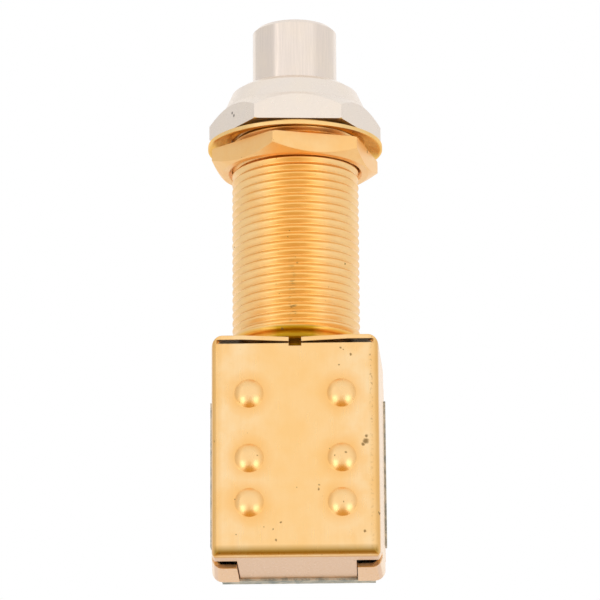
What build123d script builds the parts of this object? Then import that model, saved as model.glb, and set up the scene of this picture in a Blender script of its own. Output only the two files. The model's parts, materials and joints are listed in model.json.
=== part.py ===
"""Momentary pushbutton switch: threaded bushing, plated button, folded brass shell.

Z runs along the bushing towards the button. Z = 0 is the shell's top, where the bushing
seats, on the bushing's axis. The dimpled plate faces -Y and the terminals stand out to +Y.
"""
import os
from math import sqrt

from build123d import *

os.makedirs("parts", exist_ok=True)

# Driving dimensions in millimetres, degrees where named so
SHEET = 0.4
SNUG = 0.02
FIT = 0.05
GAP = 0.15

THREAD_DIAMETER = 11.9
BUSHING_LENGTH = 24.2
NECK_LENGTH = 1.35
NECK_DIAMETER = 10.8
SPIGOT_DIAMETER = 7.6
SPUN_LIP = 0.35
THREAD_CHAMFER = 0.35

BUTTON_DIAMETER = 7.94
BUTTON_PROUD = 6.1
BUTTON_EDGE = 0.35
TRAVEL = 4.2
STEM_DIAMETER = 4.0
STEM_RUN = 1.7
GROOVE_DEPTH = 0.5
SPRING_FLOOR = 3.0
SPRING_LENGTH = 14.0
SPRING_WIRE = 0.6
SPRING_TURNS = 5
HOOK_NECK_DIAMETER = 2.4
HOOK_NECK_LENGTH = 1.1
HOOK_HEAD_LENGTH = 1.2

HEX_ACROSS_FLATS = 14.0
HEX_CHAMFER = 0.15
BEZEL_HEX_HEIGHT = 2.4
BEZEL_COLLAR_HEIGHT = 2.4
BEZEL_CONE_RATIO = 0.95
BEZEL_RIM_DIAMETER = 11.5
BEZEL_EDGE = 0.5
COLLAR_ROOT_DIAMETER = 13.4
BEZEL_LIP = 1.3
BEZEL_TURN_DEG = 3.5
LOCK_NUT_HEIGHT = 1.9
LOCK_NUT_TURN_DEG = 16.4
LOCK_NUT_GAP = 0.45
NUT_CONE_RATIO = 0.62
NUT_COUNTERSINK = 0.3
WASHER_MARGIN = 0.12
WASHER_DEPTH = 0.95
WASHER_SHEET = 0.35
WASHER_LAND = 0.2

FRAME_WIDTH = 15.2
FRAME_FRONT = 6.0
FRAME_DEPTH = 10.5
FRAME_FLARE = 0.42
FRAME_HEIGHT = 20.3
CORNER_DROP = 0.3
TOP_RISE = 0.22
DIP_WIDTH = 9.6
TOP_BEND = 1.0
FOOT_BEND = 1.0
PLATE_BEND = 0.8
FOLD_BEND = 0.7
PLATE_GAP = 0.15
SLIT_END = 0.45
FLANGE_GAP = 1.15
FOLD_WIDTH = 10.8
FOLD_GAP = 0.08
FOLD_REACH = 2.1
RELIEF = 1.9
TAB_REACH = 1.7
TAB_HEIGHT = 1.3

DIMPLE_DIAMETER = 2.7
DIMPLE_HEIGHT = 0.55
DIMPLE_SPACING = 8.4
DIMPLE_ROWS = (-5.25, -11.25, -15.35)
DIMPLE_HOLLOW = 0.45

TIE_PLATE_WIDTH = 10.5
TIE_PLATE_DEPTH = 8.4
TIE_PLATE_SHEET = 0.6
TIE_PLATE_CORNER = 1.0
LINER_SHEET = 0.4
LINER_BEND = 0.5
BOARD_THICKNESS = 1.6
BOARD_DROP = 1.5
BOARD_PROUD = 0.2
BOARD_INSET = 0.5
EAR_PROUD = 0.18
EAR_DROP = 3.5
EAR_RISE = 3.0

CONTACT_SPACING = 8.4
CONTACT_PITCH = TRAVEL
FIRST_ROW = -6.4
STUD_DIAMETER = 2.2
STUD_HEAD = 0.4
SHANK_DIAMETER = 1.2
CLOSED_HEAD_DIAMETER = 1.9
CLOSED_HEAD = 0.35
LUG_SHEET = 0.5
LUG_WIDTH = 2.4
LUG_LENGTH = 6.4
LUG_FOOT = 3.2
LUG_HEEL = 0.3
LUG_CROWN = 0.12
LUG_HOLE_DIAMETER = 1.4

CARRIAGE_HEIGHT = 9.2
CARRIAGE_CLEARANCE = 1.0
CARRIAGE_CORNER = 0.6
CORING_EDGE = 2.0
POCKET_DEPTH = 2.0
POCKET_MARGIN = 0.15
HOOK_CLEARANCE = 0.1
BRIDGE_SHEET = 0.35
BRIDGE_WIDTH = 2.0
BRIDGE_DEPTH = 1.2
BRIDGE_SLOPE = 0.75
BRIDGE_TIP = 0.8
BRIDGE_BEND = 0.25
BRIDGE_CLEARANCE = 0.1
BOW_LEAF = 0.15
RING_THICKNESS = 0.5
RING_DIAMETER = 6.4
RING_BAND = 0.75
RING_TONGUE = 1.3
RING_MOUTH = 2.4

# Levels, depths and widths that follow
seat_z = 0.0
bezel_top_z = BUSHING_LENGTH + BEZEL_LIP
bezel_base_z = bezel_top_z - BEZEL_COLLAR_HEIGHT - BEZEL_HEX_HEIGHT
button_top_z = bezel_top_z + BUTTON_PROUD
washer_rim_z = bezel_base_z - WASHER_DEPTH
lock_nut_top_z = washer_rim_z - LOCK_NUT_GAP
frame_bottom_z = seat_z - FRAME_HEIGHT
foot_z = frame_bottom_z - CORNER_DROP
plate_top_z = seat_z - SHEET - PLATE_GAP
tie_plate_z = seat_z - SHEET - TIE_PLATE_SHEET
spigot_end_z = tie_plate_z - SPUN_LIP
ring_top_z = spigot_end_z - GAP
ring_base_z = ring_top_z - RING_THICKNESS
hook_neck_z = ring_base_z - STEM_RUN
hook_head_z = hook_neck_z - HOOK_NECK_LENGTH
stem_end_z = hook_head_z - HOOK_HEAD_LENGTH
ear_top_z = seat_z - EAR_DROP
ear_bottom_z = frame_bottom_z + EAR_RISE
front_y = -FRAME_FRONT
board_y = front_y + FRAME_DEPTH
board_back_y = board_y + BOARD_THICKNESS
frame_back_y = board_back_y + SHEET
thread_radius = THREAD_DIAMETER / 2
button_radius = BUTTON_DIAMETER / 2
bore_radius = button_radius + FIT
stem_radius = STEM_DIAMETER / 2
flat_radius = HEX_ACROSS_FLATS / 2
hex_corner_radius = HEX_ACROSS_FLATS / sqrt(3)
hex_reach = hex_corner_radius + HEX_CHAMFER
nut_bore_radius = thread_radius + SNUG
spigot_hole_radius = SPIGOT_DIAMETER / 2 + SNUG
contact_x = CONTACT_SPACING / 2
contact_rows = [FIRST_ROW - CONTACT_PITCH * row for row in range(3)]
contact_places = [(side * contact_x, row) for row in contact_rows for side in (-1, 1)]
dimple_places = [(side * DIMPLE_SPACING / 2, row) for row in DIMPLE_ROWS for side in (-1, 1)]
liner_y = front_y + SHEET + SNUG
liner_half_width = FRAME_WIDTH / 2 - SHEET - FIT
carriage_half_width = liner_half_width - LINER_SHEET - GAP
carriage_front_y = liner_y + LINER_SHEET + GAP
stud_face_y = board_y - STUD_HEAD
carriage_back_y = stud_face_y - CARRIAGE_CLEARANCE
carriage_top_z = hook_neck_z - HOOK_CLEARANCE
carriage_bottom_z = carriage_top_z - CARRIAGE_HEIGHT
bridge_mid_z = (contact_rows[0] + contact_rows[1]) / 2


def side_half_width(y):
    """Half the shell's width at depth y: the side walls open a little to the back."""
    return FRAME_WIDTH / 2 + FRAME_FLARE * (y - front_y) / FRAME_DEPTH


def finish(part, name):
    """Label a piece and write it out."""
    part.label = name
    export_step(part, f"parts/{name}.step")


# Bushing: plain major diameter under the thread, neck, spigot and lip spun over the tie plate
lip_radius = SPIGOT_DIAMETER / 2 + SPUN_LIP
with BuildPart() as bushing:
    with BuildSketch(Plane.XZ):
        with BuildLine():
            Polyline(
                (stem_radius + FIT, spigot_end_z),
                (lip_radius, spigot_end_z),
                (lip_radius, tie_plate_z),
                (SPIGOT_DIAMETER / 2, tie_plate_z),
                (SPIGOT_DIAMETER / 2, seat_z),
                (NECK_DIAMETER / 2, seat_z),
                (NECK_DIAMETER / 2, NECK_LENGTH - THREAD_CHAMFER),
                (thread_radius, NECK_LENGTH),
                (thread_radius, BUSHING_LENGTH - THREAD_CHAMFER),
                (thread_radius - THREAD_CHAMFER, BUSHING_LENGTH),
                (bore_radius, BUSHING_LENGTH),
                (bore_radius, SPRING_FLOOR),
                (stem_radius + FIT, SPRING_FLOOR),
                close=True,
            )
        make_face()
    revolve(axis=Axis.Z)
finish(bushing.part, "bushing")

# Button: one turned piece, cap above, stem with ring groove and hook end below
groove_radius = stem_radius - GROOVE_DEPTH
shoulder_z = SPRING_FLOOR + SPRING_LENGTH
with BuildPart() as button:
    with BuildSketch(Plane.XZ):
        with BuildLine():
            Polyline(
                (0, button_top_z),
                (button_radius, button_top_z),
                (button_radius, shoulder_z),
                (stem_radius, shoulder_z),
                (stem_radius, ring_top_z),
                (groove_radius, ring_top_z),
                (groove_radius, ring_base_z),
                (stem_radius, ring_base_z),
                (stem_radius, hook_neck_z),
                (HOOK_NECK_DIAMETER / 2, hook_neck_z),
                (HOOK_NECK_DIAMETER / 2, hook_head_z),
                (stem_radius, hook_head_z),
                (stem_radius, stem_end_z),
                (0, stem_end_z),
                close=True,
            )
        make_face()
    revolve(axis=Axis.Z)
    chamfer(button.faces().sort_by(Axis.Z)[-1].edges(), BUTTON_EDGE)
finish(button.part, "button")


# Bezel nut: hexagon with a coned top, turned collar and a lip over the bushing's end
def cone_z(radius):
    """Height of the bezel nut's cone at a radius; it meets the flats at the hexagon's height."""
    return bezel_base_z + BEZEL_HEX_HEIGHT - (radius - flat_radius) * BEZEL_CONE_RATIO


with BuildPart() as bezel_nut:
    with BuildSketch(Plane.XY.offset(bezel_base_z)):
        RegularPolygon(hex_corner_radius, 6, rotation=BEZEL_TURN_DEG)
    extrude(amount=bezel_top_z - bezel_base_z)
    with BuildSketch(Plane.XZ):
        with BuildLine():
            Polyline(
                (0, bezel_base_z),
                (hex_corner_radius - HEX_CHAMFER, bezel_base_z),
                (hex_reach, bezel_base_z + HEX_CHAMFER),
                (hex_reach, cone_z(hex_reach)),
                (COLLAR_ROOT_DIAMETER / 2, cone_z(COLLAR_ROOT_DIAMETER / 2)),
                (BEZEL_RIM_DIAMETER / 2, bezel_top_z),
                (0, bezel_top_z),
                close=True,
            )
        make_face()
    revolve(axis=Axis.Z, mode=Mode.INTERSECT)
    chamfer(bezel_nut.faces().sort_by(Axis.Z)[-1].edges(), BEZEL_EDGE)
    with BuildSketch(Plane.XY.offset(bezel_base_z)):
        Circle(nut_bore_radius)
    extrude(amount=BUSHING_LENGTH - bezel_base_z, mode=Mode.SUBTRACT)
    with BuildSketch(Plane.XY.offset(BUSHING_LENGTH)):
        Circle(bore_radius)
    extrude(amount=BEZEL_LIP, mode=Mode.SUBTRACT)
finish(bezel_nut.part, "bezel_nut")

# Cup washer: flat ring under the bezel nut, dished rim that stands down on the panel
washer_radius = hex_corner_radius + WASHER_MARGIN
washer_under_z = bezel_base_z - WASHER_SHEET
with BuildPart() as cup_washer:
    with BuildSketch(Plane.XZ):
        with BuildLine():
            Polyline(
                (nut_bore_radius + GAP, bezel_base_z),
                (flat_radius - WASHER_LAND, bezel_base_z),
                (washer_radius, washer_rim_z + WASHER_SHEET),
                (washer_radius, washer_rim_z),
                (washer_radius - WASHER_LAND, washer_rim_z),
                (flat_radius - 2 * WASHER_LAND, washer_under_z),
                (nut_bore_radius + GAP, washer_under_z),
                close=True,
            )
        make_face()
    revolve(axis=Axis.Z)
finish(cup_washer.part, "cup_washer")

# Lock nut: thin hexagon with a wide cone towards the shell and a small countersink
lock_nut_base_z = lock_nut_top_z - LOCK_NUT_HEIGHT
face_radius = flat_radius - HEX_CHAMFER
lock_cone = (hex_reach - face_radius) * NUT_CONE_RATIO
with BuildPart() as lock_nut:
    with BuildSketch(Plane.XY.offset(lock_nut_base_z)):
        RegularPolygon(hex_corner_radius, 6, rotation=LOCK_NUT_TURN_DEG)
    extrude(amount=LOCK_NUT_HEIGHT)
    with BuildSketch(Plane.XZ):
        with BuildLine():
            Polyline(
                (nut_bore_radius + NUT_COUNTERSINK, lock_nut_base_z),
                (face_radius, lock_nut_base_z),
                (hex_reach, lock_nut_base_z + lock_cone),
                (hex_reach, lock_nut_top_z - HEX_CHAMFER),
                (hex_corner_radius - HEX_CHAMFER, lock_nut_top_z),
                (nut_bore_radius, lock_nut_top_z),
                (nut_bore_radius, lock_nut_base_z + NUT_COUNTERSINK),
                close=True,
            )
        make_face()
    revolve(axis=Axis.Z, mode=Mode.INTERSECT)
finish(lock_nut.part, "lock_nut")


# Shell: one folded sheet, made as the form outside the metal less the form inside it
def folded_form(inset, back_y):
    """Block with the shell's bends, as seen from above, from the front and from the side."""
    near_y = front_y + inset
    near = side_half_width(near_y) - inset
    far = side_half_width(back_y) - inset
    start_y = front_y - FRAME_FRONT
    step_y = front_y + FOLD_REACH + RELIEF
    top_z = TOP_RISE - inset
    low_z = foot_z + inset
    fold_z = frame_bottom_z + inset
    with BuildPart() as form:
        with BuildSketch(Plane.XY.offset(foot_z)) as plan:
            with BuildLine():
                Polyline((-near, near_y), (near, near_y), (far, back_y), (-far, back_y), close=True)
            make_face()
            fillet(plan.vertices(), PLATE_BEND - inset)
        extrude(amount=TOP_RISE - foot_z)
        for side in (-1, 1):
            along_wall = Plane(
                origin=(side * (side_half_width(start_y) - inset), start_y, 0),
                x_dir=(-FRAME_DEPTH, side * FRAME_FLARE, 0),
                z_dir=(side * FRAME_FLARE, FRAME_DEPTH, 0),
            )
            beyond = side * 2 * FRAME_WIDTH
            with BuildSketch(along_wall) as outline:
                with BuildLine():
                    Polyline((0, low_z), (0, top_z), (beyond, top_z), (beyond, low_z), close=True)
                make_face()
                fillet(outline.vertices().sort_by_distance((0, top_z))[0], TOP_BEND - inset)
                fillet(outline.vertices().sort_by_distance((0, low_z))[0], FOOT_BEND - inset)
            extrude(amount=4 * FRAME_DEPTH, mode=Mode.INTERSECT)
        with BuildSketch(Plane.YZ) as profile:
            with BuildLine():
                Polyline(
                    (near_y, 2 * TOP_RISE),
                    (near_y, fold_z),
                    (step_y, fold_z),
                    (step_y, low_z),
                    (2 * back_y, low_z),
                    (2 * back_y, 2 * TOP_RISE),
                    close=True,
                )
            make_face()
            fillet(profile.vertices().sort_by_distance((near_y, fold_z))[0], FOLD_BEND - inset)
        extrude(amount=FRAME_WIDTH, both=True, mode=Mode.INTERSECT)
        # The middle of the bottom is one level with the plate's fold
        with BuildSketch(Plane.XY.offset(foot_z)):
            Rectangle(FOLD_WIDTH, 4 * FRAME_DEPTH)
        extrude(amount=CORNER_DROP + inset, mode=Mode.SUBTRACT)
        # The top dips to the middle, where the bushing seats
        dip_z = top_z + TOP_RISE
        with BuildSketch(Plane.XZ):
            with BuildLine():
                Polyline((-DIP_WIDTH, dip_z), (0, -inset), (DIP_WIDTH, dip_z), close=True)
            make_face()
        extrude(amount=2 * FRAME_DEPTH, both=True, mode=Mode.SUBTRACT)
    return form.part


outer_form = folded_form(0, frame_back_y)
inner_form = folded_form(SHEET, board_back_y)
plate_edge = FRAME_WIDTH / 2 - SLIT_END
flange_under_z = TOP_RISE - SHEET
tab_half_gap = side_half_width(board_y) - SHEET - TAB_REACH
relief_y = front_y + FOLD_REACH
wide_open = 2 * FRAME_WIDTH

with BuildPart() as dimple:
    with BuildSketch(Plane.XZ):
        with BuildLine():
            bulge_radius = (DIMPLE_DIAMETER ** 2 / 4 + DIMPLE_HEIGHT ** 2) / (2 * DIMPLE_HEIGHT)
            arc = RadiusArc((DIMPLE_DIAMETER / 2, 0), (0, DIMPLE_HEIGHT), -bulge_radius)
            Polyline(arc @ 1, (0, 0), arc @ 0)
        make_face()
    revolve(axis=Axis.Z)

with BuildPart() as frame:
    add(outer_form)
    add(inner_form, mode=Mode.SUBTRACT)
    # Slit between the plate's top edge and the two flanges that fold over it
    with BuildSketch(Plane.XZ.offset(-(front_y + 2 * SHEET))):
        with BuildLine():
            Polyline(
                (-plate_edge, plate_top_z),
                (plate_edge, plate_top_z),
                (plate_edge, flange_under_z),
                (DIP_WIDTH / 2, flange_under_z),
                (0, seat_z - SHEET),
                (-DIP_WIDTH / 2, flange_under_z),
                (-plate_edge, flange_under_z),
                close=True,
            )
        make_face()
    extrude(amount=3 * SHEET, mode=Mode.SUBTRACT)
    # Gap between the flanges, hole for the spigot and flat seat for the neck
    with BuildSketch(Plane.XY.offset(seat_z - 2 * SHEET)):
        Rectangle(FLANGE_GAP, 4 * FRAME_DEPTH)
        Circle(spigot_hole_radius)
    extrude(amount=3 * SHEET + TOP_RISE, mode=Mode.SUBTRACT)
    with BuildSketch(Plane.XY.offset(seat_z)):
        Circle(NECK_DIAMETER / 2 + FIT)
    extrude(amount=2 * TOP_RISE, mode=Mode.SUBTRACT)
    # Relief notches and slits that part the plate's bottom fold from the two corner flanges
    with BuildSketch(Plane.XY.offset(foot_z - SHEET)):
        for side in (-1, 1):
            with Locations((side * (FOLD_WIDTH + FRAME_WIDTH) / 2, relief_y + RELIEF / 2)):
                Rectangle(FRAME_WIDTH, RELIEF)
            with Locations((side * (FOLD_WIDTH + FOLD_GAP) / 2, relief_y + FRAME_DEPTH)):
                Rectangle(FOLD_GAP, 2 * FRAME_DEPTH)
    extrude(amount=CORNER_DROP + 3 * SHEET, mode=Mode.SUBTRACT)
    # Back: rests for the board's ears, and four corner tabs folded over the board
    with BuildSketch(Plane.XZ.offset(-board_y)):
        with Locations((0, (ear_top_z + ear_bottom_z) / 2)):
            Rectangle(wide_open, ear_top_z - ear_bottom_z)
        with Locations((0, ear_top_z + TAB_HEIGHT + FRAME_DEPTH / 2)):
            Rectangle(wide_open, FRAME_DEPTH)
        with Locations((0, ear_bottom_z - TAB_HEIGHT - FRAME_DEPTH / 2)):
            Rectangle(wide_open, FRAME_DEPTH)
        with Locations((0, -FRAME_HEIGHT / 2)):
            Rectangle(2 * tab_half_gap, 2 * FRAME_HEIGHT)
    extrude(amount=-FRAME_DEPTH, mode=Mode.SUBTRACT)
    # Six round dimples pressed outwards in the plate
    for x, z in dimple_places:
        add(dimple.part.moved(Location((x, front_y + SNUG, z), (90, 0, 0))))
    with BuildSketch(Plane.XZ.offset(-(front_y + SHEET))):
        with Locations(dimple_places):
            Circle(DIMPLE_DIAMETER / 2 - SHEET)
    extrude(amount=DIMPLE_HOLLOW, mode=Mode.SUBTRACT)
finish(frame.part, "frame")

# Tie plate: holds the two top flanges together under the bushing's spun lip
with BuildPart() as tie_plate:
    with BuildSketch(Plane.XY.offset(tie_plate_z)) as plate:
        Rectangle(TIE_PLATE_WIDTH, TIE_PLATE_DEPTH)
        fillet(plate.vertices(), TIE_PLATE_CORNER)
        Circle(spigot_hole_radius, mode=Mode.SUBTRACT)
    extrude(amount=TIE_PLATE_SHEET)
finish(tie_plate.part, "tie_plate")

# Insulator liner: fibre sheet folded to a U against the plate and the side walls
liner_top_z = TOP_RISE - TOP_BEND - SHEET
liner_bottom_z = foot_z + FOOT_BEND + FIT
liner_end_y = board_y - FIT
liner_mid = liner_half_width - LINER_SHEET / 2
with BuildPart() as insulator_liner:
    with BuildSketch(Plane.XY.offset(liner_bottom_z)):
        with BuildLine():
            FilletPolyline(
                (-liner_mid, liner_end_y),
                (-liner_mid, liner_y + LINER_SHEET / 2),
                (liner_mid, liner_y + LINER_SHEET / 2),
                (liner_mid, liner_end_y),
                radius=LINER_BEND,
            )
        trace(line_width=LINER_SHEET)
    extrude(amount=liner_top_z - liner_bottom_z)
    # The wings stop square at the board
    with BuildSketch(Plane.XZ.offset(-liner_end_y)):
        with Locations((0, -FRAME_HEIGHT / 2)):
            Rectangle(wide_open, 2 * FRAME_HEIGHT)
    extrude(amount=-LINER_SHEET, mode=Mode.SUBTRACT)
finish(insulator_liner.part, "insulator_liner")

# Terminal board: punched laminate with ears that rest on the side walls
board_top_z = seat_z - BOARD_DROP
board_bottom_z = frame_bottom_z - BOARD_PROUD
board_half_width = side_half_width(board_y) - SHEET - BOARD_INSET
ear_half_width = side_half_width(board_y) + EAR_PROUD
with BuildPart() as terminal_board:
    with BuildSketch(Plane.XZ.offset(-board_y)):
        with Locations((0, (board_top_z + board_bottom_z) / 2)):
            Rectangle(2 * board_half_width, board_top_z - board_bottom_z)
        with Locations((0, (ear_top_z + ear_bottom_z) / 2)):
            Rectangle(2 * ear_half_width, ear_top_z - ear_bottom_z - 2 * FIT)
        with Locations(contact_places):
            Circle(SHANK_DIAMETER / 2 + SNUG, mode=Mode.SUBTRACT)
    extrude(amount=-BOARD_THICKNESS)
finish(terminal_board.part, "terminal_board")

# Contact rivets: flat head inside, shank through board and lug, closed head outside
shank_length = BOARD_THICKNESS + LUG_SHEET
with BuildPart() as rivet:
    with BuildSketch(Plane.XZ):
        with BuildLine():
            Polyline(
                (0, -STUD_HEAD),
                (STUD_DIAMETER / 2, -STUD_HEAD),
                (STUD_DIAMETER / 2, 0),
                (SHANK_DIAMETER / 2, 0),
                (SHANK_DIAMETER / 2, shank_length),
                (CLOSED_HEAD_DIAMETER / 2, shank_length),
                (CLOSED_HEAD_DIAMETER / 2, shank_length + CLOSED_HEAD),
                (0, shank_length + CLOSED_HEAD),
                close=True,
            )
        make_face()
    revolve(axis=Axis.Z)
with BuildPart() as contact_rivets:
    for x, z in contact_places:
        add(rivet.part.moved(Location((x, board_y, z), (-90, 0, 0))))
finish(contact_rivets.part, "contact_rivets")


def solder_lug(side, row):
    """Lug on the back of the board: foot under the rivet's closed head, upright with a wire hole."""
    x = side * contact_x
    outer = x + side * (LUG_FOOT / 2 + LUG_HEEL)
    inner = outer - side * LUG_FOOT
    tip_y = board_back_y + LUG_LENGTH
    with BuildPart() as lug:
        with BuildSketch(Plane.XY.offset(row - LUG_WIDTH / 2)) as section:
            with BuildLine():
                Polyline(
                    (inner, board_back_y),
                    (outer, board_back_y),
                    (outer, tip_y),
                    (outer - side * LUG_SHEET, tip_y),
                    (outer - side * LUG_SHEET, board_back_y + LUG_SHEET),
                    (inner, board_back_y + LUG_SHEET),
                    close=True,
                )
            make_face()
            heel = section.vertices().sort_by_distance((outer, board_back_y))[0]
            fillet(heel, LUG_SHEET - FIT)
        extrude(amount=LUG_WIDTH)
        tip_edges = lug.edges().filter_by(Axis.X).group_by(Axis.Y)[-1]
        fillet(tip_edges, LUG_WIDTH / 2 - LUG_CROWN)
        with BuildSketch(Plane.YZ.offset(outer)):
            with Locations((tip_y - LUG_WIDTH / 2, row)):
                Circle(LUG_HOLE_DIAMETER / 2)
        extrude(amount=2 * LUG_SHEET, both=True, mode=Mode.SUBTRACT)
        with BuildSketch(Plane.XZ.offset(-board_back_y)):
            with Locations((x, row)):
                Circle(SHANK_DIAMETER / 2 + SNUG)
        extrude(amount=-LUG_SHEET, mode=Mode.SUBTRACT)
    return lug.part


for number, (x, row) in enumerate(contact_places, start=1):
    finish(solder_lug(1 if x > 0 else -1, row), f"terminal_{number}")

# Contact carriage: moulded block hung on the button's hook, with a pocket for each bridge
pocket_length = CONTACT_PITCH + 3 * BRIDGE_TIP
pocket_width = BRIDGE_WIDTH + 2 * POCKET_MARGIN
neck_slot_radius = HOOK_NECK_DIAMETER / 2 + HOOK_CLEARANCE
head_slot_radius = stem_radius + HOOK_CLEARANCE
coring_top_z = stem_end_z - CORING_EDGE
coring_bottom_z = carriage_bottom_z + CORING_EDGE / 2
carriage_mid_y = (carriage_front_y + carriage_back_y) / 2
with BuildPart() as contact_carriage:
    with BuildSketch(Plane.XY.offset(carriage_bottom_z)):
        with Locations((0, carriage_mid_y)):
            RectangleRounded(2 * carriage_half_width, carriage_back_y - carriage_front_y, CARRIAGE_CORNER)
    extrude(amount=CARRIAGE_HEIGHT)
    for radius, low, high in (
        (neck_slot_radius, hook_head_z, carriage_top_z),
        (head_slot_radius, stem_end_z - HOOK_CLEARANCE, hook_head_z + HOOK_CLEARANCE),
    ):
        with BuildSketch(Plane.XY.offset(low)):
            Circle(radius)
            with Locations((0, carriage_front_y / 2)):
                Rectangle(2 * radius, -carriage_front_y)
        extrude(amount=high - low, mode=Mode.SUBTRACT)
    with BuildSketch(Plane.XZ.offset(-(carriage_back_y - POCKET_DEPTH))):
        with Locations((-contact_x, bridge_mid_z), (contact_x, bridge_mid_z)):
            Rectangle(pocket_width, pocket_length)
    extrude(amount=-POCKET_DEPTH, mode=Mode.SUBTRACT)
    # Coring in the front, under the hook
    with BuildSketch(Plane.XZ.offset(-carriage_mid_y)):
        with Locations((0, (coring_top_z + coring_bottom_z) / 2)):
            Rectangle(2 * (carriage_half_width - CORING_EDGE), coring_top_z - coring_bottom_z)
    extrude(amount=carriage_mid_y - carriage_front_y, mode=Mode.SUBTRACT)
finish(contact_carriage.part, "contact_carriage")

# Contact bridges: sprung strips with two bumps that bridge neighbouring rivets
bump_y = stud_face_y - BRIDGE_CLEARANCE - BRIDGE_SHEET / 2
flat_y = bump_y - BRIDGE_DEPTH
tip_y = bump_y - BRIDGE_TIP * BRIDGE_SLOPE
bump_z = CONTACT_PITCH / 2
pocket_floor_y = carriage_back_y - POCKET_DEPTH
bow_y = pocket_floor_y + BOW_LEAF / 2 + SNUG
bow_end_y = flat_y - (BRIDGE_SHEET + BOW_LEAF) / 2 - SNUG
bow_half = bump_z - BRIDGE_TIP
for side, name in ((-1, "left"), (1, "right")):
    with BuildPart() as contact_bridge:
        with BuildSketch(Plane.YZ.offset(side * contact_x)):
            with BuildLine():
                FilletPolyline(
                    (tip_y, bridge_mid_z - bump_z - BRIDGE_TIP),
                    (bump_y, bridge_mid_z - bump_z),
                    (flat_y, bridge_mid_z - bow_half),
                    (flat_y, bridge_mid_z + bow_half),
                    (bump_y, bridge_mid_z + bump_z),
                    (tip_y, bridge_mid_z + bump_z + BRIDGE_TIP),
                    radius=BRIDGE_BEND,
                )
            trace(line_width=BRIDGE_SHEET)
        extrude(amount=BRIDGE_WIDTH / 2, both=True)
    finish(contact_bridge.part, f"contact_bridge_{name}")

    # Bow spring between the pocket's floor and the bridge
    with BuildPart() as contact_spring:
        with BuildSketch(Plane.YZ.offset(side * contact_x)):
            with BuildLine():
                ThreePointArc(
                    (bow_end_y, bridge_mid_z - bow_half),
                    (bow_y, bridge_mid_z),
                    (bow_end_y, bridge_mid_z + bow_half),
                )
            trace(line_width=BOW_LEAF)
        extrude(amount=BRIDGE_WIDTH / 2 - POCKET_MARGIN, both=True)
    finish(contact_spring.part, f"contact_spring_{name}")

# Return spring: coil between the bushing's floor and the button's shoulder
coil_radius = bore_radius - SPRING_WIRE / 2 - GAP
coil_height = SPRING_LENGTH - SPRING_WIRE - 2 * SNUG
with BuildPart() as return_spring:
    with BuildLine() as coil:
        Helix(coil_height / SPRING_TURNS, coil_height, coil_radius,
              center=(0, 0, SPRING_FLOOR + SPRING_WIRE / 2 + SNUG))
    with BuildSketch(coil.line ^ 0):
        RegularPolygon(SPRING_WIRE / 2, 4)
    sweep(path=coil.line, is_frenet=True)
finish(return_spring.part, "return_spring")

# Retaining ring: E-shaped clip in the stem's groove, under the bushing's spun lip
with BuildPart() as retaining_ring:
    with BuildSketch(Plane.XY.offset(ring_base_z + SNUG)):
        Circle(RING_DIAMETER / 2)
        Circle(RING_DIAMETER / 2 - RING_BAND, mode=Mode.SUBTRACT)
        with PolarLocations((RING_DIAMETER / 2 + groove_radius) / 2 - RING_BAND / 4, 3, start_angle=90):
            Rectangle(RING_DIAMETER / 2 - groove_radius - RING_BAND / 2, RING_TONGUE)
        Circle(groove_radius + SNUG, mode=Mode.SUBTRACT)
        with Locations((0, -RING_DIAMETER / 2)):
            Rectangle(RING_MOUTH, RING_DIAMETER, mode=Mode.SUBTRACT)
    extrude(amount=RING_THICKNESS - 2 * SNUG)
finish(retaining_ring.part, "retaining_ring")
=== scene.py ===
import json
from math import cos, pi, radians, sin

import bmesh
import bpy
from mathutils import Matrix, Vector


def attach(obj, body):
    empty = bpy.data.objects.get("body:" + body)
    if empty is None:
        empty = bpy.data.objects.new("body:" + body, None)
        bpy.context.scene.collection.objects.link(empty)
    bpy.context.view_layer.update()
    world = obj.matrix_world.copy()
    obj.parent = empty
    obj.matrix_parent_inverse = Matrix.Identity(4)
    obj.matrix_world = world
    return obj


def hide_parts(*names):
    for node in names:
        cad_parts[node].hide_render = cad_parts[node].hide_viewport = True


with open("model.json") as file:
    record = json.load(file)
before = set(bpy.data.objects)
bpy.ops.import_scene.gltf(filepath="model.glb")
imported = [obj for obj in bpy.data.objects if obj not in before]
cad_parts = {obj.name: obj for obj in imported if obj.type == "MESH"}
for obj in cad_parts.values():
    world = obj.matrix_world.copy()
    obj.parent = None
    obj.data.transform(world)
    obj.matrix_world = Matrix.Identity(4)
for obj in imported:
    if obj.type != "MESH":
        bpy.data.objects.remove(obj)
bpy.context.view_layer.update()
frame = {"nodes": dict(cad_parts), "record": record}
mm = 0.001
scene = bpy.context.scene
scene.view_settings.view_transform = "Standard"


# Small helpers for node trees and meshes
def addNode(tree, kind, **values):
    made = tree.nodes.new(kind)
    for name, value in values.items():
        setattr(made, name, value)
    return made


def feed(tree, target, source):
    # source is a socket or a plain value
    if isinstance(source, bpy.types.NodeSocket):
        tree.links.new(source, target)
    else:
        target.default_value = source


def mathNode(tree, operation, first, second=0.5, third=None):
    made = addNode(tree, "ShaderNodeMath", operation=operation)
    feed(tree, made.inputs[0], first)
    feed(tree, made.inputs[1], second)
    if third is not None:
        feed(tree, made.inputs[2], third)
    return made.outputs[0]


def times(tree, first, second):
    return mathNode(tree, "MULTIPLY", first, second)


def strongest(tree, values):
    total = values[0]
    for value in values[1:]:
        total = mathNode(tree, "MAXIMUM", total, value)
    return total


def spread(tree, value, low, high, start=0.0, end=1.0):
    # value between low and high becomes start to end, held at both sides
    made = addNode(tree, "ShaderNodeMapRange", clamp=True)
    for index, number in enumerate((value, low, high, start, end)):
        feed(tree, made.inputs[index], number)
    return made.outputs[0]


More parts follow.
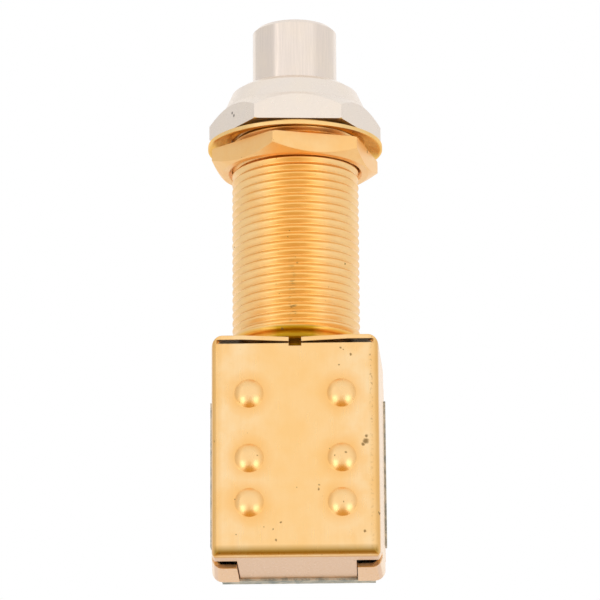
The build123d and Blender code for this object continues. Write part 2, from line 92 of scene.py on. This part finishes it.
def noiseAt(tree, place, scale, detail=3.0, stretch=(1, 1, 1)):
    turned = addNode(tree, "ShaderNodeMapping")
    turned.inputs["Scale"].default_value = stretch
    feed(tree, turned.inputs["Vector"], place)
    made = addNode(tree, "ShaderNodeTexNoise")
    feed(tree, made.inputs["Vector"], turned.outputs[0])
    made.inputs["Scale"].default_value = scale
    made.inputs["Detail"].default_value = detail
    return made.outputs["Fac"]


def blendColor(tree, amount, first, second):
    made = addNode(tree, "ShaderNodeMix", data_type="RGBA")
    feed(tree, made.inputs[0], amount)
    for target, source in ((made.inputs[6], first), (made.inputs[7], second)):
        feed(tree, target, source if isinstance(source, bpy.types.NodeSocket) else (*source, 1))
    return made.outputs[2]


def axesOf(tree, place):
    axes = addNode(tree, "ShaderNodeSeparateXYZ")
    feed(tree, axes.inputs[0], place)
    return axes.outputs


def flatten(tree, place, kept):
    # an axis with 0 in kept is dropped
    made = addNode(tree, "ShaderNodeVectorMath", operation="MULTIPLY")
    feed(tree, made.inputs[0], place)
    made.inputs[1].default_value = kept
    return made.outputs[0]


def nearPoint(tree, source, point, low, high, strength=1.0):
    # full strength within low of the point and none beyond high, mm
    gap = addNode(tree, "ShaderNodeVectorMath", operation="DISTANCE")
    feed(tree, gap.inputs[0], source)
    gap.inputs[1].default_value = [part * mm for part in point]
    return spread(tree, gap.outputs["Value"], low * mm, high * mm, strength, 0)


def startMaterial(name):
    material = bpy.data.materials.new(name)
    material.use_nodes = True
    tree = material.node_tree
    shader = tree.nodes["Principled BSDF"]
    place = addNode(tree, "ShaderNodeTexCoord").outputs["Object"]
    return material, tree, shader, place


def meshPiece(name, work, slot, body, *nodes):
    mesh = bpy.data.meshes.new(name)
    work.to_mesh(mesh)
    work.free()
    mesh.materials.append(finishes[slot])
    piece = bpy.data.objects.new(name, mesh)
    scene.collection.objects.link(piece)
    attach(piece, body)
    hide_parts(*nodes)


# Camera: low, looking up at the plate, millimetres and degrees
view = {"target": (0.365, 0, 5.161), "distance": 326.2, "lens": 210, "clipStart": 10,
        "lookUp": 15.47, "turn": 1.2, "roll": -0.378}


def makeCamera():
    camera = bpy.data.objects.new("camera", bpy.data.cameras.new("camera"))
    camera.data.lens = view["lens"]
    camera.data.clip_start = view["clipStart"] * mm
    facing = Matrix.Rotation(radians(view["turn"]), 4, "Z")
    facing = facing @ Matrix.Rotation(radians(90 + view["lookUp"]), 4, "X")
    facing = facing @ Matrix.Rotation(radians(view["roll"]), 4, "Z")
    place = Vector(view["target"]) + facing @ Vector((0, 0, view["distance"]))
    camera.matrix_world = Matrix.Translation(place * mm) @ facing
    scene.collection.objects.link(camera)
    scene.camera = camera


makeCamera()
print("camera placed")

# Stage: pale floor, white room, two softboxes low in front; metres and degrees
studio = {"floorDrop": 0.32, "floorSize": 3.0, "floorColor": (0.9, 0.9, 0.9),
          "floorWarm": (0.9, 0.9, 0.8865), "floorGrain": 40, "floorRough": 0.9, "floorGlow": 0.22,
          "roomLight": 0.75, "boxTurn": 40, "boxRise": -26, "boxFar": 0.42, "boxWide": 0.20,
          "boxTall": 0.24, "boxGlow": 1.12}


def flatPanel(name, width, height, place, facing=(0, 0, 1)):
    work = bmesh.new()
    bmesh.ops.create_grid(work, x_segments=1, y_segments=1, size=0.5)
    bmesh.ops.scale(work, vec=(width, height, 1), verts=work.verts)
    turned = Vector(facing).to_track_quat("Z", "Y").to_matrix()
    bmesh.ops.rotate(work, cent=(0, 0, 0), matrix=turned, verts=work.verts)
    bmesh.ops.translate(work, vec=place, verts=work.verts)
    mesh = bpy.data.meshes.new(name)
    work.to_mesh(mesh)
    work.free()
    panel = bpy.data.objects.new(name, mesh)
    scene.collection.objects.link(panel)
    return panel


def seenWhite(tree):
    # 1 where a camera, mirror or glass ray looks, 0 for the light that falls on things
    rays = addNode(tree, "ShaderNodeLightPath")
    kinds = ("Is Camera Ray", "Is Glossy Ray", "Is Transmission Ray")
    return strongest(tree, [rays.outputs[kind] for kind in kinds])


def makeRoom():
    world = bpy.data.worlds.new("room")
    world.use_nodes = True
    scene.world = world
    tree = world.node_tree
    background = tree.nodes["Background"]
    background.inputs["Color"].default_value = (1, 1, 1, 1)
    feed(tree, background.inputs["Strength"], spread(tree, seenWhite(tree), 0, 1, studio["roomLight"], 1))


def makeFloor():
    floor = flatPanel("floor", studio["floorSize"], studio["floorSize"], (0, 0, -studio["floorDrop"]))
    material, tree, shader, place = startMaterial("floorPaint")
    grain = noiseAt(tree, place, studio["floorGrain"])
    paint = blendColor(tree, grain, studio["floorColor"], studio["floorWarm"])
    feed(tree, shader.inputs["Base Color"], paint)
    shader.inputs["Roughness"].default_value = studio["floorRough"]
    shader.inputs["Emission Color"].default_value = (1, 1, 1, 1)
    glow = spread(tree, seenWhite(tree), 0, 1, 0, studio["floorGlow"])
    feed(tree, shader.inputs["Emission Strength"], glow)
    floor.data.materials.append(material)


def makeSoftboxes():
    turn, rise, far = radians(studio["boxTurn"]), radians(studio["boxRise"]), studio["boxFar"]
    for side, name in ((-1, "leftSoftbox"), (1, "rightSoftbox")):
        lamp = bpy.data.lights.new(name, "AREA")
        lamp.shape = "RECTANGLE"
        lamp.size = studio["boxWide"]
        lamp.size_y = studio["boxTall"]
        lamp.energy = studio["boxGlow"] * pi * studio["boxWide"] * studio["boxTall"]
        box = bpy.data.objects.new(name, lamp)
        box.location = (side * far * sin(turn) * cos(rise), -far * cos(turn) * cos(rise), far * sin(rise))
        box.rotation_euler = box.location.to_track_quat("Z", "Y").to_euler()
        box.visible_camera = False
        scene.collection.objects.link(box)


# Cards that only the metal's gloss sees: width, height, centre, facing, colour
cards = {
    "cameraCard": (0.10, 0.12, (0.0, -0.40, -0.17), (0, 1, 0.4), (0.90, 0.68, 0.42)),
    "groundCard": (0.30, 0.32, (0.0, -0.17, -0.24), (0, 0, 1), (0.66, 0.40, 0.10)),
    "leftCard": (0.76, 0.70, (-0.46, 0.08, 0.10), (1, 0, -0.1), (0.78, 0.78, 0.78)),
    "rightCard": (0.80, 0.70, (0.50, 0.12, 0.10), (-1, 0, -0.1), (0.86, 0.86, 0.86)),
    "stripCard": (0.04, 0.36, (-0.30, -0.27, 0.14), (0.30, 0.27, -0.05), (1.3, 1.28, 1.26)),
    "ceilingCard": (0.90, 0.90, (0.0, 0.0, 0.48), (0, 0, -1), (0.93, 0.94, 0.95)),
}


def makeCards():
    for name, (width, height, centre, facing, tone) in cards.items():
        card = flatPanel(name, width, height, centre, facing)
        material, tree, shader, place = startMaterial(name + "Paint")
        shader.inputs["Base Color"].default_value = (0, 0, 0, 1)
        shader.inputs["Specular IOR Level"].default_value = 0
        shader.inputs["Emission Color"].default_value = (*tone, 1)
        shader.inputs["Emission Strength"].default_value = 1
        card.data.materials.append(material)
        card.visible_camera = False
        card.visible_diffuse = False
        card.visible_shadow = False
        card.visible_transmission = False


makeRoom()
makeFloor()
makeSoftboxes()
makeCards()
print("stage set")

# What all the metals share: where the noise starts and stops to show, and the worn surface; mm
surface = {"grainDetail": 4, "grainFrom": 0.3, "grainTo": 0.7, "cloudDetail": 3, "cloudFrom": 0.35,
           "cloudTo": 0.65, "speckDetail": 2, "speckSoft": 0.03, "soilMetal": 0.9, "soilRough": 0.3,
           "lacquerRough": 0.25, "edgeSamples": 4, "bumpHeight": 0.02}


# Metal finishes: clouded tone, fine grain, scattered specks and softened edges
def metalFinish(name, look, marks=None):
    material, tree, shader, place = startMaterial(name)
    grain = noiseAt(tree, place, 1.0, surface["grainDetail"], look["grain"])
    clouds = noiseAt(tree, place, look["cloudScale"], surface["cloudDetail"])
    clouds = spread(tree, clouds, surface["cloudFrom"], surface["cloudTo"])
    color = blendColor(tree, clouds, look["base"], look["warm"])
    streaks = spread(tree, grain, surface["grainFrom"], surface["grainTo"], 0, look["streak"])
    color = blendColor(tree, streaks, color, look["deep"])
    specks = noiseAt(tree, place, look["speckScale"], surface["speckDetail"])
    speckTo = look["speckFrom"] + surface["speckSoft"]
    soil = spread(tree, specks, look["speckFrom"], speckTo, 0, look["speckDepth"])
    if marks:
        color, soil = marks(tree, place, color, soil)
    feed(tree, shader.inputs["Base Color"], blendColor(tree, soil, color, look["dirt"]))
    feed(tree, shader.inputs["Metallic"], spread(tree, soil, 0, 1, 1, surface["soilMetal"]))
    rough = spread(tree, grain, surface["grainFrom"], surface["grainTo"], *look["rough"])
    rough = mathNode(tree, "MULTIPLY_ADD", soil, surface["soilRough"], rough)
    feed(tree, shader.inputs["Roughness"], rough)
    shader.inputs["Specular Tint"].default_value = (*look["rimTone"], 1)
    shader.inputs["Coat Weight"].default_value = look["lacquer"]
    shader.inputs["Coat Roughness"].default_value = surface["lacquerRough"]
    edges = addNode(tree, "ShaderNodeBevel", samples=surface["edgeSamples"])
    edges.inputs["Radius"].default_value = look["edge"] * mm
    bump = addNode(tree, "ShaderNodeBump")
    bump.inputs["Strength"].default_value = look["bump"]
    bump.inputs["Distance"].default_value = surface["bumpHeight"] * mm
    feed(tree, bump.inputs["Height"], grain)
    feed(tree, bump.inputs["Normal"], edges.outputs[0])
    feed(tree, shader.inputs["Normal"], bump.outputs[0])
    return material


brass = {"base": (1.0, 0.72, 0.39), "warm": (0.99, 0.63, 0.27), "deep": (0.90, 0.56, 0.24),
         "dirt": (0.26, 0.15, 0.04), "grain": (3500, 3500, 350), "cloudScale": 420, "streak": 0.16,
         "speckScale": 1500, "speckFrom": 0.74, "speckDepth": 0.8, "rough": (0.26, 0.36), "bump": 0.06,
         "edge": 0.09, "lacquer": 0.25, "rimTone": (1.0, 1.0, 1.0)}
threadLook = {**brass, "base": (1.0, 0.68, 0.31), "warm": (1.0, 0.63, 0.25), "deep": (0.94, 0.56, 0.2),
              "grain": (350, 350, 9000), "rough": (0.32, 0.42), "edge": 0.03, "lacquer": 0.3}
lockNutLook = {**brass, "base": (1.0, 0.64, 0.28), "warm": (1.0, 0.59, 0.22), "grain": (2500, 2500, 2500),
               "rough": (0.34, 0.42), "edge": 0.05, "lacquer": 0.1}
innerLook = {**brass, "base": (1.0, 0.70, 0.32), "warm": (0.98, 0.64, 0.25), "edge": 0.05, "lacquer": 0.0,
             "rimTone": (1.0, 0.8, 0.5)}
hiddenLook = {**innerLook, "base": (0.55, 0.30, 0.07), "warm": (0.48, 0.25, 0.05)}
nickel = {**brass, "base": (0.88, 0.77, 0.69), "warm": (0.91, 0.79, 0.68), "deep": (0.78, 0.68, 0.60),
          "dirt": (0.12, 0.10, 0.09), "grain": (9000, 9000, 300), "streak": 0.5, "speckFrom": 0.8,
          "rough": (0.14, 0.26), "bump": 0.12, "lacquer": 0.0}
bezelLook = {**nickel, "base": (0.90, 0.80, 0.71), "warm": (0.92, 0.81, 0.70), "deep": (0.83, 0.74, 0.67),
             "grain": (4000, 4000, 4000), "streak": 0.2, "rough": (0.26, 0.38), "edge": 0.05}
tinLook = {**bezelLook, "base": (0.72, 0.71, 0.68), "warm": (0.68, 0.66, 0.62)}
springLook = {**bezelLook, "base": (0.6, 0.6, 0.6), "warm": (0.55, 0.55, 0.54)}
ringLook = {**bezelLook, "base": (0.4, 0.4, 0.41), "warm": (0.36, 0.36, 0.36)}

# Tones of the shell: a painted reflection that makes the middle a deeper orange, rings around the dimples,
# painted highlights on the dimple crowns, and painted shade on the side bends, the fold and the faces
# underneath; mm
plate = {"front": -5.9, "frontSoft": 0.2,
         "dimples": [(x, z) for z in (-5.25, -11.25, -15.35) for x in (-4.2, 4.2)],
         "ring": {"from": 1.3, "to": 2.4, "tone": (0.96, 0.50, 0.13), "depth": 0.6},
         "crownHighlight": {"from": 0.7, "to": 1.3, "tone": (1.0, 0.74, 0.40), "depth": 0.45},
         "middleFrom": 2, "middleTo": 5, "middleShadeTone": (0.99, 0.60, 0.22), "middleDepth": 0.6,
         "sideFrom": 6.6, "sideTo": 7.5, "bendShadeTone": (0.87, 0.48, 0.13), "bendShadeDepth": 0.85,
         "wallFrom": 7.5, "wallTo": 7.58, "wallTone": (0.97, 0.70, 0.44),
         "foldFrom": -19.2, "foldTo": -19.8, "foldShadeTone": (0.32, 0.17, 0.0), "foldShadeDepth": 0.85,
         "shadedUndersides": [(-20.2, (0.75, 0.42, 0.18)), (-20.45, (0.84, 0.45, 0.14))], "undersideSoft": 0.06}

# Dirt on the shell: brown spots as x, z and radius, and a line of crumbs up the right edge; mm
plateDirt = {"spots": [(6.36, -9.79, 0.30), (6.1, -10.1, 0.18), (6.42, -9.3, 0.16), (5.09, -1.69, 0.13),
                       (4.15, -1.04, 0.10), (4.4, -1.2, 0.07), (3.99, -2.67, 0.08), (2.08, -14.18, 0.13),
                       (2.1, -13.8, 0.08), (-1.36, -17.18, 0.11), (-2.89, -17.62, 0.08),
                       (-2.08, -17.81, 0.08), (-1.82, -18.82, 0.12), (6.18, -18.07, 0.13),
                       (4.32, -15.49, 0.09), (4.55, -10.9, 0.11), (-5.39, -18.3, 0.08),
                       (0.1, -14.0, 0.06)],
             "spotCore": 0.5, "spotRim": 1.1, "wobble": 0.12, "wobbleScale": 4000, "depth": 0.85,
             "seamAt": 6.9, "seamFrom": 0.06, "seamTo": 0.2, "seamLow": -11.0, "seamHigh": -0.6,
             "lowDepth": 0.2, "highDepth": 0.8, "crumbScale": 4200, "breakupFrom": 0.54, "breakupTo": 0.64}


def plateTones(tree, flat, across, height, front, color):
    away = mathNode(tree, "ABSOLUTE", across)
    # painted reflection shade: the middle of the front is painted a deeper orange
    middle = spread(tree, away, plate["middleFrom"] * mm, plate["middleTo"] * mm, plate["middleDepth"], 0)
    color = blendColor(tree, times(tree, middle, front), color, plate["middleShadeTone"])
    # rings are a deeper orange around each dimple; the crown tone is a painted highlight, paler gold on
    # each dimple's top
    for mark in (plate["ring"], plate["crownHighlight"]):
        found = [nearPoint(tree, flat, (x, 0, z), mark["from"], mark["to"]) for x, z in plate["dimples"]]
        amount = times(tree, times(tree, strongest(tree, found), front), mark["depth"])
        color = blendColor(tree, amount, color, mark["tone"])
    # painted shade: the plate darkens to a deeper orange over the side bends
    sides = spread(tree, away, plate["sideFrom"] * mm, plate["sideTo"] * mm, 0, plate["bendShadeDepth"])
    color = blendColor(tree, sides, color, plate["bendShadeTone"])
    walls = spread(tree, away, plate["wallFrom"] * mm, plate["wallTo"] * mm)
    color = blendColor(tree, walls, color, plate["wallTone"])
    # painted shade: the fold along the bottom of the front is painted dark brown
    fold = spread(tree, height, plate["foldTo"] * mm, plate["foldFrom"] * mm, plate["foldShadeDepth"], 0)
    color = blendColor(tree, times(tree, fold, front), color, plate["foldShadeTone"])
    # painted shade: the downward faces at the bottom are painted a darker, duller brass
    for level, tone in plate["shadedUndersides"]:
        below = spread(tree, height, (level - plate["undersideSoft"]) * mm, level * mm, 1, 0)
        color = blendColor(tree, below, color, tone)
    return color


def plateSpots(tree, place, flat):
    # a little wobble keeps the spots from being round
    wobble = plateDirt["wobble"]
    ripple = addNode(tree, "ShaderNodeTexNoise")
    feed(tree, ripple.inputs["Vector"], place)
    ripple.inputs["Scale"].default_value = plateDirt["wobbleScale"]
    shifted = addNode(tree, "ShaderNodeVectorMath", operation="MULTIPLY_ADD")
    feed(tree, shifted.inputs[0], ripple.outputs["Color"])
    shifted.inputs[1].default_value = (2 * wobble * mm, 0, 2 * wobble * mm)
    feed(tree, shifted.inputs[2], flat)
    return [nearPoint(tree, shifted.outputs[0], (x + wobble, 0, z + wobble), plateDirt["spotCore"] * radius,
                      plateDirt["spotRim"] * radius) for x, z, radius in plateDirt["spots"]]


def plateSeam(tree, place, across, height):
    seam = mathNode(tree, "ABSOLUTE", mathNode(tree, "SUBTRACT", across, plateDirt["seamAt"] * mm))
    seam = spread(tree, seam, plateDirt["seamFrom"] * mm, plateDirt["seamTo"] * mm, 1, 0)
    breakup = noiseAt(tree, place, plateDirt["crumbScale"], surface["speckDetail"])
    breakup = spread(tree, breakup, plateDirt["breakupFrom"], plateDirt["breakupTo"])
    fading = spread(tree, height, plateDirt["seamLow"] * mm, plateDirt["seamHigh"] * mm,
                    plateDirt["lowDepth"], plateDirt["highDepth"])
    return times(tree, times(tree, seam, breakup), fading)


def plateMarks(tree, place, color, soil):
    across, depth, height = axesOf(tree, place)
    flat = flatten(tree, place, (1, 0, 1))
    front = spread(tree, depth, plate["front"] * mm, (plate["front"] + plate["frontSoft"]) * mm, 1, 0)
    color = plateTones(tree, flat, across, height, front, color)
    found = [*plateSpots(tree, place, flat), plateSeam(tree, place, across, height)]
    dirt = times(tree, strongest(tree, found), times(tree, front, plateDirt["depth"]))
    return color, mathNode(tree, "MAXIMUM", soil, dirt)


# Thread: painted shade, a deeper orange in the middle and dark on the front of the neck with orange sides,
# and a broken dark line up its front; mm
threadTones = {"middleFrom": 1.5, "middleTo": 3.5, "middleShadeTone": (1.0, 0.57, 0.13), "middleDepth": 0.6,
               "neckTop": 1.3, "neckSoft": 0.2, "neckFrom": 1.6, "neckTo": 2.8,
               "neckFrontShade": (0.50, 0.26, 0.0), "neckSide": (1.0, 0.57, 0.12)}
threadFrontLine = {"at": -0.2, "from": 0.1, "to": 0.5, "frontFrom": -5.8, "frontTo": -5.6, "bottom": 1.4,
              "low": 1.8, "high": 8.5, "depth": 0.9, "breakup": (1500, 1500, 4500), "breakupDetail": 3,
              "breakupFrom": 0.5, "breakupTo": 0.6}


def threadLine(tree, place, axes):
    across, depth, height = axes
    # a broken dark line up the centre of the thread's front, strongest just above the neck and fading
    # upwards
    line = mathNode(tree, "ABSOLUTE", mathNode(tree, "SUBTRACT", across, threadFrontLine["at"] * mm))
    line = spread(tree, line, threadFrontLine["from"] * mm, threadFrontLine["to"] * mm, 1, 0)
    front = spread(tree, depth, threadFrontLine["frontFrom"] * mm, threadFrontLine["frontTo"] * mm, 1, 0)
    fading = spread(tree, height, threadFrontLine["low"] * mm, threadFrontLine["high"] * mm, threadFrontLine["depth"], 0)
    rising = spread(tree, height, threadFrontLine["bottom"] * mm, threadFrontLine["low"] * mm)
    breakup = noiseAt(tree, place, 1.0, threadFrontLine["breakupDetail"], threadFrontLine["breakup"])
    breakup = spread(tree, breakup, threadFrontLine["breakupFrom"], threadFrontLine["breakupTo"])
    for part in (front, fading, rising, breakup):
        line = times(tree, line, part)
    return line


def threadMarks(tree, place, color, soil):
    across, depth, height = axesOf(tree, place)
    away = mathNode(tree, "ABSOLUTE", across)
    # painted reflection shade: the middle of the thread is painted a deeper orange
    middle = spread(tree, away, threadTones["middleFrom"] * mm, threadTones["middleTo"] * mm,
                    threadTones["middleDepth"], 0)
    color = blendColor(tree, middle, color, threadTones["middleShadeTone"])
    # painted shade on the neck under the thread: dark at the front, a deeper orange at the sides
    turning = spread(tree, away, threadTones["neckFrom"] * mm, threadTones["neckTo"] * mm)
    neckShade = blendColor(tree, turning, threadTones["neckFrontShade"], threadTones["neckSide"])
    neckTop = threadTones["neckTop"]
    neck = spread(tree, height, (neckTop - threadTones["neckSoft"]) * mm, neckTop * mm, 1, 0)
    color = blendColor(tree, neck, color, neckShade)
    line = threadLine(tree, place, (across, depth, height))
    return color, mathNode(tree, "MAXIMUM", soil, line)


# Washer: painted shade, its hollow is painted a deeper gold than its rim, radii in mm
washerHollowShade = {"from": 8.0, "to": 8.15, "tone": (0.90, 0.56, 0.16), "depth": 0.7}


def washerMarks(tree, place, color, soil):
    flat = flatten(tree, place, (1, 1, 0))
    # painted shade inside the cup
    inside = nearPoint(tree, flat, (0, 0, 0), washerHollowShade["from"], washerHollowShade["to"],
                       washerHollowShade["depth"])
    return blendColor(tree, inside, color, washerHollowShade["tone"]), soil


# Bezel nut: two dark specks on its left facet as x, y, z and radius, mm
bezelDirt = {"specks": [(-5.79, -3.97, 22.27, 0.14), (-5.64, -4.23, 21.94, 0.16)],
             "core": 0.5, "rim": 1.2, "depth": 0.85}


def bezelMarks(tree, place, color, soil):
    found = [nearPoint(tree, place, (x, y, z), bezelDirt["core"] * radius, bezelDirt["rim"] * radius,
                       bezelDirt["depth"]) for x, y, z, radius in bezelDirt["specks"]]
    return color, mathNode(tree, "MAXIMUM", soil, strongest(tree, found))


# Laminate, fibre and moulding: mottled, with a fine grain in the surface; mm
sheet = {"mottleDetail": 5, "grainDetail": 3, "finer": 6, "mottleShare": 0.65, "grainShare": 0.35,
         "toneFrom": 0.4, "toneTo": 0.58, "roughSpread": 0.1, "bump": 0.5, "bumpHeight": 0.03}
laminateLook = {"light": (0.60, 0.53, 0.40), "dark": (0.24, 0.25, 0.21), "scale": 1300, "rough": 0.6}
fibreLook = {"light": (0.16, 0.09, 0.04), "dark": (0.09, 0.05, 0.02), "scale": 500, "rough": 0.7}
mouldingLook = {"light": (0.06, 0.035, 0.02), "dark": (0.03, 0.018, 0.012), "scale": 400, "rough": 0.45}


def sheetFinish(name, look):
    material, tree, shader, place = startMaterial(name)
    mottle = noiseAt(tree, place, look["scale"], sheet["mottleDetail"])
    grain = noiseAt(tree, place, look["scale"] * sheet["finer"], sheet["grainDetail"])
    mottle = times(tree, mottle, sheet["mottleShare"])
    tone = mathNode(tree, "MULTIPLY_ADD", grain, sheet["grainShare"], mottle)
    shown = spread(tree, tone, sheet["toneFrom"], sheet["toneTo"])
    feed(tree, shader.inputs["Base Color"], blendColor(tree, shown, look["dark"], look["light"]))
    rough = spread(tree, grain, surface["grainFrom"], surface["grainTo"],
                   look["rough"] - sheet["roughSpread"], look["rough"] + sheet["roughSpread"])
    feed(tree, shader.inputs["Roughness"], rough)
    bump = addNode(tree, "ShaderNodeBump")
    bump.inputs["Strength"].default_value = sheet["bump"]
    bump.inputs["Distance"].default_value = sheet["bumpHeight"] * mm
    feed(tree, bump.inputs["Height"], tone)
    feed(tree, shader.inputs["Normal"], bump.outputs[0])
    return material


finishes = {
    "shell_brass": metalFinish("shellBrass", brass, plateMarks),
    "bushing_brass": metalFinish("bushingBrass", threadLook, threadMarks),
    "lock_nut_brass": metalFinish("lockNutBrass", lockNutLook),
    "washer_brass": metalFinish("washerBrass", innerLook, washerMarks),
    "plate_brass": metalFinish("tiePlateBrass", hiddenLook),
    "rivet_brass": metalFinish("rivetBrass", lockNutLook),
    "contact_bronze": metalFinish("contactBronze", innerLook),
    "bezel_nickel": metalFinish("bezelNickel", bezelLook, bezelMarks),
    "button_nickel": metalFinish("buttonNickel", nickel),
    "terminal_tinned": metalFinish("lugTin", tinLook),
    "spring_steel": metalFinish("springSteel", springLook),
    "ring_steel": metalFinish("ringSteel", ringLook),
    "laminate": sheetFinish("laminate", laminateLook),
    "fibre": sheetFinish("brownFibre", fibreLook),
    "moulding": sheetFinish("brownMoulding", mouldingLook),
}

slotOf = {row["node"]: row["material_slot"] for row in frame["record"]["subparts"]}
for nodeName, cadNode in frame["nodes"].items():
    cadNode.data.materials.clear()
    cadNode.data.materials.append(finishes[slotOf[nodeName]])
print("finishes laid on", len(frame["nodes"]), "nodes")

# Thread in mm: pitch, radii, where it is cut, and the shares of a pitch that crest and root take
thread = {"pitch": 0.75, "crestRadius": 5.94, "rootRadius": 5.57, "easing": 0.02, "crestShare": 0.2,
          "rootShare": 0.16, "start": 1.35, "end": 23.85, "cutAside": 0.013, "stepsPerTurn": 96,
          "mergeWithin": 0.004, "cutSnap": 1e-6, "sharpFrom": 48}

# Bushing in mm: a round shoulder under the thread, a cove down to the shell, spigot, spun lip and bores
bushing = {"top": 24.2, "topRadius": 5.6, "boreRadius": 3.99, "boreFloor": 3.0, "stemBore": 2.05,
           "spigotRadius": 3.8, "plateLevel": -1.0, "lipRadius": 4.15, "lipEnd": -1.35}
shoulder = {"middle": (5.56, 1.13), "radius": 0.34, "from": 10, "to": -70, "steps": 5}
cove = {"middle": (5.75, 0.43), "radius": 0.45, "from": 110, "to": 251, "steps": 9}


def arcPoints(arc):
    # points of an arc as (radius, height) pairs
    for step in range(arc["steps"] + 1):
        angle = radians(arc["from"] + (arc["to"] - arc["from"]) * step / arc["steps"])
        yield arc["middle"][0] + arc["radius"] * cos(angle), arc["middle"][1] + arc["radius"] * sin(angle)


def ribPoints():
    # one pitch of the thread: half a root, flank, crest, flank, half a root
    half, crest = thread["rootShare"] / 2, thread["crestShare"] / 2
    low, high = thread["rootRadius"], thread["crestRadius"]
    shares = (0, half, 0.5 - crest, 0.5, 0.5 + crest, 1 - half, 1)
    radii = (low, low + thread["easing"], high - thread["easing"], high)
    for share, radius in zip(shares, (*radii, *reversed(radii[:-1]))):
        yield radius, thread["start"] + (share - 1) * thread["pitch"]


def corePoints():
    # from under the thread down the neck, round the lip, up the bores and out to the thread's top
    return [*arcPoints(shoulder), *arcPoints(cove), (bushing["spigotRadius"], 0),
            (bushing["spigotRadius"], bushing["plateLevel"]), (bushing["lipRadius"], bushing["plateLevel"]),
            (bushing["lipRadius"], bushing["lipEnd"]), (bushing["stemBore"], bushing["lipEnd"]),
            (bushing["stemBore"], bushing["boreFloor"]), (bushing["boreRadius"], bushing["boreFloor"]),
            (bushing["boreRadius"], bushing["top"]), (bushing["topRadius"], bushing["top"])]


def spinProfile(work, points, rise=0.0):
    # an open line of (radius, height) points turned about the bushing's axis
    dots = [work.verts.new((radius, 0, height)) for radius, height in points]
    lines = [work.edges.new(pair) for pair in zip(dots, dots[1:])]
    bmesh.ops.spin(work, geom=dots + lines, cent=(0, 0, 0), axis=(0, 0, 1), dvec=(0, 0, rise), angle=2 * pi,
                   steps=thread["stepsPerTurn"], use_merge=rise == 0, use_duplicate=False)


def cutFlat(work, level, keepAbove):
    everything = work.verts[:] + work.edges[:] + work.faces[:]
    bmesh.ops.bisect_plane(work, geom=everything, plane_co=(0, 0, level), plane_no=(0, 0, 1),
                           dist=thread["cutSnap"], clear_inner=keepAbove, clear_outer=not keepAbove)


def wrapThread(work):
    # one turn is spun, then copied up the bushing
    pitch = thread["pitch"]
    spinProfile(work, ribPoints(), pitch / thread["stepsPerTurn"])
    oneTurn = work.verts[:] + work.edges[:] + work.faces[:]
    for turn in range(1, int((thread["end"] - thread["start"]) / pitch) + 3):
        copied = bmesh.ops.duplicate(work, geom=oneTurn)["geom"]
        fresh = [item for item in copied if isinstance(item, bmesh.types.BMVert)]
        bmesh.ops.translate(work, vec=(0, 0, turn * pitch), verts=fresh)
    bmesh.ops.remove_doubles(work, verts=work.verts, dist=thread["mergeWithin"])
    cutFlat(work, thread["start"] + thread["cutAside"], True)
    cutFlat(work, thread["end"] - thread["cutAside"], False)
    bmesh.ops.remove_doubles(work, verts=work.verts, dist=thread["mergeWithin"])


def openRims(edges):
    low = [edge for edge in edges if edge.is_boundary and edge.verts[0].co.z < bushing["boreFloor"]]
    high = [edge for edge in edges if edge.is_boundary and edge.verts[0].co.z > bushing["boreFloor"]]
    return low, high


def makeBushing():
    work = bmesh.new()
    wrapThread(work)
    threadLow, threadHigh = openRims(work.edges)
    threadEdges = set(work.edges)
    spinProfile(work, corePoints())
    coreLow, coreHigh = openRims([edge for edge in work.edges if edge not in threadEdges])
    bmesh.ops.bridge_loops(work, edges=threadLow + coreLow)
    bmesh.ops.bridge_loops(work, edges=threadHigh + coreHigh)
    bmesh.ops.recalc_face_normals(work, faces=work.faces)
    for face in work.faces:
        face.smooth = True
    for edge in work.edges:
        edge.smooth = len(edge.link_faces) == 2 and edge.calc_face_angle(0) < radians(thread["sharpFrom"])
    bmesh.ops.scale(work, vec=(mm, mm, mm), verts=work.verts)
    loose = [edge for edge in work.edges if not edge.is_manifold]
    print("bushing:", len(work.faces), "faces,", len(loose), "open edges")
    meshPiece("threadedBushing", work, "bushing_brass", "switch_body", "bushing")


makeBushing()
